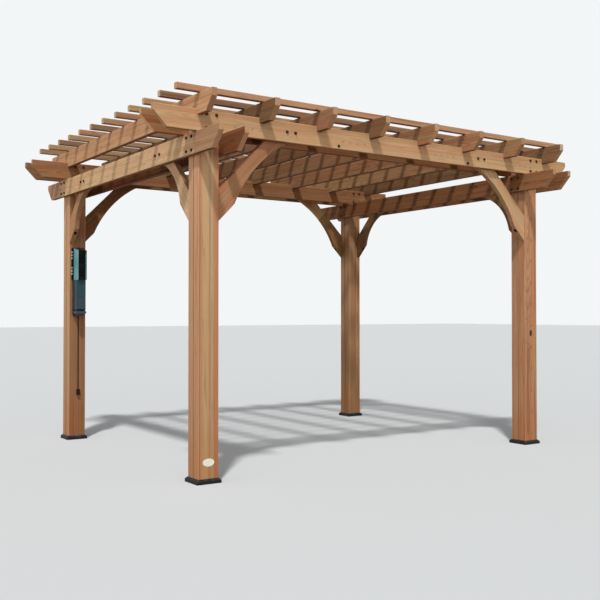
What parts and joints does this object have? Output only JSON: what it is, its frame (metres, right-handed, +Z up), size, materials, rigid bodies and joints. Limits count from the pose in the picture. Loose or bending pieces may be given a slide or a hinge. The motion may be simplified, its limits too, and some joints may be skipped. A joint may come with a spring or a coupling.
{
  "type": "wooden pergola",
  "caption": "Open timber pergola with paired beams on posts in base skirts, arched corner braces, notched rafters, purlins across them, and a hooded power box on a post.",
  "frame": {"origin": "on the ground, midway between the four posts", "axes": "+X along the front to the right, +Y from front to back, +Z up"},
  "size_m": [3.658, 3.048, 2.4],
  "materials": {
    "post_wood": "stained cedar, satin",
    "beam_wood": "stained cedar, satin",
    "brace_wood": "stained cedar, satin",
    "rafter_wood": "stained cedar, satin",
    "purlin_wood": "stained cedar, satin",
    "skirt_paint": "black powder coat",
    "box_paint": "black gloss enamel",
    "lead_sheath": "dark brown sheath"
  },
  "bodies": {
    "root": {"post_front_left": "post_wood", "base_skirt_front_left": "skirt_paint", "cross_brace_front_left": "brace_wood", "side_brace_front_left": "brace_wood", "post_back_left": "post_wood", "base_skirt_back_left": "skirt_paint", "cross_brace_back_left": "brace_wood", "side_brace_back_left": "brace_wood", "post_front_right": "post_wood", "base_skirt_front_right": "skirt_paint", "cross_brace_front_right": "brace_wood", "side_brace_front_right": "brace_wood", "post_back_right": "post_wood", "base_skirt_back_right": "skirt_paint", "cross_brace_back_right": "brace_wood", "side_brace_back_right": "brace_wood", "side_beam_left_outer": "beam_wood", "side_beam_left_inner": "beam_wood", "side_beam_right_outer": "beam_wood", "side_beam_right_inner": "beam_wood", "cross_beam_front_outer": "beam_wood", "cross_beam_front_inner": "beam_wood", "cross_beam_back_outer": "beam_wood", "cross_beam_back_inner": "beam_wood", "rafter_1": "rafter_wood", "rafter_2": "rafter_wood", "rafter_3": "rafter_wood", "rafter_4": "rafter_wood", "rafter_5": "rafter_wood", "rafter_6": "rafter_wood", "rafter_7": "rafter_wood", "rafter_8": "rafter_wood", "purlin_1": "purlin_wood", "purlin_2": "purlin_wood", "purlin_3": "purlin_wood", "purlin_4": "purlin_wood", "purlin_5": "purlin_wood", "purlin_6": "purlin_wood", "purlin_7": "purlin_wood", "purlin_8": "purlin_wood", "purlin_9": "purlin_wood", "purlin_10": "purlin_wood", "purlin_11": "purlin_wood", "purlin_12": "purlin_wood", "power_box": "box_paint", "socket_hood": "box_paint", "power_lead": "lead_sheath"}
  },
  "joints": []
}
